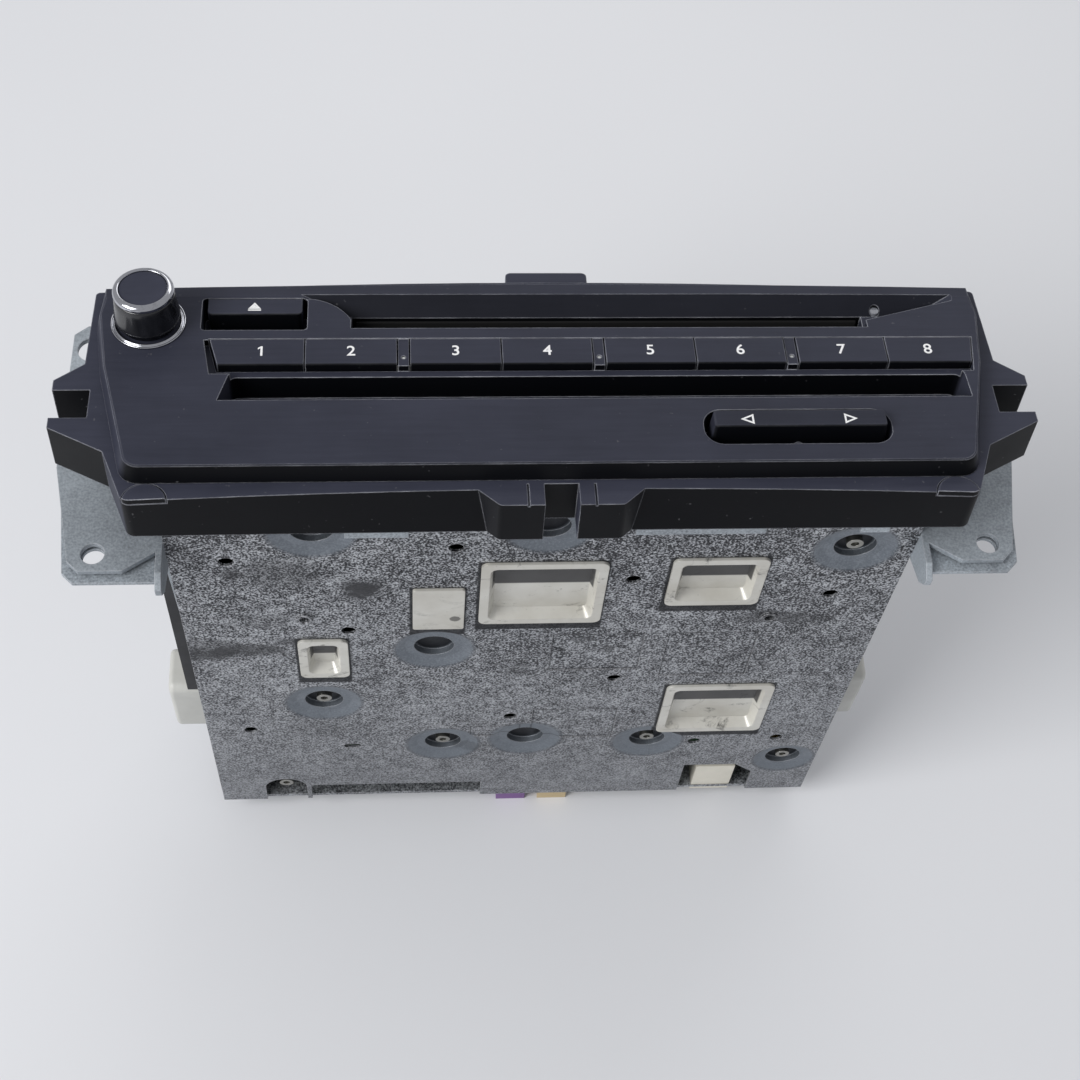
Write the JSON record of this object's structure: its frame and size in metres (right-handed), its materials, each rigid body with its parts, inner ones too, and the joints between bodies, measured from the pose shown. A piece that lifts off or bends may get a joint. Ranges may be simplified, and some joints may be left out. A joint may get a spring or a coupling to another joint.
{
  "type": "car head unit",
  "caption": "Single-disc car head unit with a round volume knob, a row of preset keys over a finger groove, a seek rocker and side mounting flanges.",
  "frame": {"origin": "middle of the box's footprint, at the rear ends of the heat sink and the sockets", "axes": "+Z runs from the rear edge out of the face, +Y from the bottom cover to the top cover, +X to the right as the face is read"},
  "size_m": [0.2322, 0.0756, 0.2058],
  "materials": {
    "bezel_plastic": "satin moulded plastic, nearly black",
    "panel_plastic": "satin moulded plastic, nearly black",
    "key_plastic": "satin moulded plastic with light print",
    "plug_plastic": "satin, with a worn rim",
    "knob_gloss": "glossy black",
    "knob_cap_plastic": "satin black",
    "chrome_trim": "bright, with fine scuffs",
    "base_ring_silver": "bright",
    "lens_plastic": "dark gloss",
    "guide_plastic": "milky clear",
    "felt": "black felt",
    "mat_rubber": "grey silicone rubber",
    "mount_rubber": "black rubber",
    "key_circuit": "green lacquer",
    "main_circuit": "green lacquer",
    "cover_steel": "galvanised sheet, mottled and stained",
    "case_steel": "galvanised sheet",
    "plate_steel": "galvanised sheet, bright",
    "flange_zinc": "zinc plate with spangle",
    "tray_steel": "bright tinned sheet with scuffs",
    "rail_plastic": "satin black",
    "glide_plastic": "white acetal",
    "screw_steel": "zinc plated",
    "pillar_brass": "plain",
    "socket_plastic": "black",
    "pin_brass": "tin-plated brass",
    "violet_plastic": "violet",
    "beige_plastic": "beige",
    "cream_plastic": "cream",
    "sink_aluminium": "extruded, plain",
    "cable_plastic": "white ribbon",
    "drive_steel": "galvanised sheet",
    "roller_rubber": "black rubber on a steel shaft",
    "motor_steel": "plated can",
    "turntable_plastic": "black",
    "clamp_plastic": "white acetal",
    "sled_plastic": "black",
    "rod_steel": "ground",
    "encoder_metal": "plated",
    "rotor_plastic": "white acetal"
  },
  "bodies": {
    "case": {"bezel_frame": "bezel_plastic", "front_panel": "panel_plastic", "corner_plugs": "plug_plastic", "knob_base_ring": "base_ring_silver", "volume_encoder": "encoder_metal", "key_light_guides": "guide_plastic", "status_lens": "lens_plastic", "slot_felt_strips": "felt", "key_mat": "mat_rubber", "key_board": "key_circuit", "bottom_cover": "cover_steel", "cover_tray_large": "tray_steel", "cover_tray_upper": "tray_steel", "cover_tray_lower": "tray_steel", "cover_tray_small": "tray_steel", "cover_patch": "tray_steel", "chassis_frame": "case_steel", "top_cover": "case_steel", "front_plate": "plate_steel", "left_bracket": "flange_zinc", "right_bracket": "flange_zinc", "left_side_rail": "rail_plastic", "right_side_rail": "rail_plastic", "glide_blocks": "glide_plastic", "case_screws": "screw_steel", "board_pillars": "pillar_brass", "main_connector": "socket_plastic", "connector_pins": "pin_brass", "violet_coax_connector": "violet_plastic", "beige_coax_connector": "beige_plastic", "accessory_connector": "cream_plastic", "heat_sink": "sink_aluminium", "main_board": "main_circuit", "ribbon_cable": "cable_plastic", "drive_chassis": "drive_steel", "spindle_motor": "motor_steel", "guide_rods": "rod_steel", "sled_motor": "motor_steel", "damping_mounts": "mount_rubber"},
    "encoder_rotor": {"encoder_rotor": "rotor_plastic"},
    "volume_knob": {"volume_knob": "knob_gloss", "knob_chrome_ring": "chrome_trim", "knob_cap": "knob_cap_plastic", "encoder_shaft": "encoder_metal"},
    "eject_button": {"eject_button": "key_plastic"},
    "seek_rocker": {"seek_rocker": "key_plastic"},
    "loading_roller": {"loading_roller": "roller_rubber"},
    "turntable": {"turntable": "turntable_plastic"},
    "clamp_arm": {"clamp_arm": "drive_steel"},
    "disc_clamp": {"disc_clamp": "clamp_plastic"},
    "pickup_sled": {"pickup_sled": "sled_plastic"},
    "lead_screw": {"lead_screw": "rod_steel"},
    "preset_button_1": {"preset_button_1": "key_plastic"},
    "preset_button_2": {"preset_button_2": "key_plastic"},
    "preset_button_3": {"preset_button_3": "key_plastic"},
    "preset_button_4": {"preset_button_4": "key_plastic"},
    "preset_button_5": {"preset_button_5": "key_plastic"},
    "preset_button_6": {"preset_button_6": "key_plastic"},
    "preset_button_7": {"preset_button_7": "key_plastic"},
    "preset_button_8": {"preset_button_8": "key_plastic"}
  },
  "joints": [
    {"name": "volume_turn", "type": "hinge", "parent": "case", "child": "encoder_rotor", "pos_m": [-0.0922, 0.0155, 0.18939], "axis": [0, 0.1219, 0.9925], "continuous": true},
    {"name": "volume_push", "type": "slide", "parent": "encoder_rotor", "child": "volume_knob", "axis": [0, -0.1219, -0.9925], "range_m": [0, 0.0005], "stiffness_N_per_m": 2000},
    {"name": "eject_push", "type": "slide", "parent": "case", "child": "eject_button", "axis": [0, -0.1219, -0.9925], "range_m": [0, 0.0012], "stiffness_N_per_m": 900},
    {"name": "seek_tip", "type": "hinge", "parent": "case", "child": "seek_rocker", "pos_m": [0.0554, -0.01718, 0.19401], "axis": [0, 0.9925, -0.1219], "range_deg": [-2.5, 2.5], "stiffness_Nm_per_rad": 0.6},
    {"name": "preset_1_push", "type": "slide", "parent": "case", "child": "preset_button_1", "axis": [0, -0.1219, -0.9925], "range_m": [0, 0.0009], "stiffness_N_per_m": 900},
    {"name": "preset_2_push", "type": "slide", "parent": "case", "child": "preset_button_2", "axis": [0, -0.1219, -0.9925], "range_m": [0, 0.0009], "stiffness_N_per_m": 900},
    {"name": "preset_3_push", "type": "slide", "parent": "case", "child": "preset_button_3", "axis": [0, -0.1219, -0.9925], "range_m": [0, 0.0009], "stiffness_N_per_m": 900},
    {"name": "preset_4_push", "type": "slide", "parent": "case", "child": "preset_button_4", "axis": [0, -0.1219, -0.9925], "range_m": [0, 0.0009], "stiffness_N_per_m": 900},
    {"name": "preset_5_push", "type": "slide", "parent": "case", "child": "preset_button_5", "axis": [0, -0.1219, -0.9925], "range_m": [0, 0.0009], "stiffness_N_per_m": 900},
    {"name": "preset_6_push", "type": "slide", "parent": "case", "child": "preset_button_6", "axis": [0, -0.1219, -0.9925], "range_m": [0, 0.0009], "stiffness_N_per_m": 900},
    {"name": "preset_7_push", "type": "slide", "parent": "case", "child": "preset_button_7", "axis": [0, -0.1219, -0.9925], "range_m": [0, 0.0009], "stiffness_N_per_m": 900},
    {"name": "preset_8_push", "type": "slide", "parent": "case", "child": "preset_button_8", "axis": [0, -0.1219, -0.9925], "range_m": [0, 0.0009], "stiffness_N_per_m": 900},
    {"name": "roller_spin", "type": "hinge", "parent": "case", "child": "loading_roller", "pos_m": [0.0153, 0.01217, 0.155], "axis": [1, 0, 0], "continuous": true},
    {"name": "disc_spin", "type": "hinge", "parent": "case", "child": "turntable", "pos_m": [0.0153, 0.01616, 0.094], "axis": [0, 1, 0], "continuous": true},
    {"name": "clamp_lift", "type": "hinge", "parent": "case", "child": "clamp_arm", "pos_m": [0.0153, 0.02136, 0.0246], "axis": [1, 0, 0], "range_deg": [0, 1.7], "stiffness_Nm_per_rad": 0.3},
    {"name": "clamp_spin", "type": "hinge", "parent": "clamp_arm", "child": "disc_clamp", "pos_m": [0.0153, 0.02136, 0.094], "axis": [0, 1, 0], "continuous": true},
    {"name": "sled_run", "type": "slide", "parent": "case", "child": "pickup_sled", "axis": [0, 0, -1], "range_m": [0, 0.034]},
    {"name": "lead_screw_turn", "type": "hinge", "parent": "case", "child": "lead_screw", "pos_m": [-0.0127, -0.00123, 0.055], "axis": [0, 0, 1], "range_deg": [-5, 4085]}
  ],
  "couplings": [
    {"joint": "clamp_spin", "follows": "disc_spin", "ratio": 1},
    {"joint": "lead_screw_turn", "follows": "sled_run", "rad_per_m": 2094.4}
  ]
}
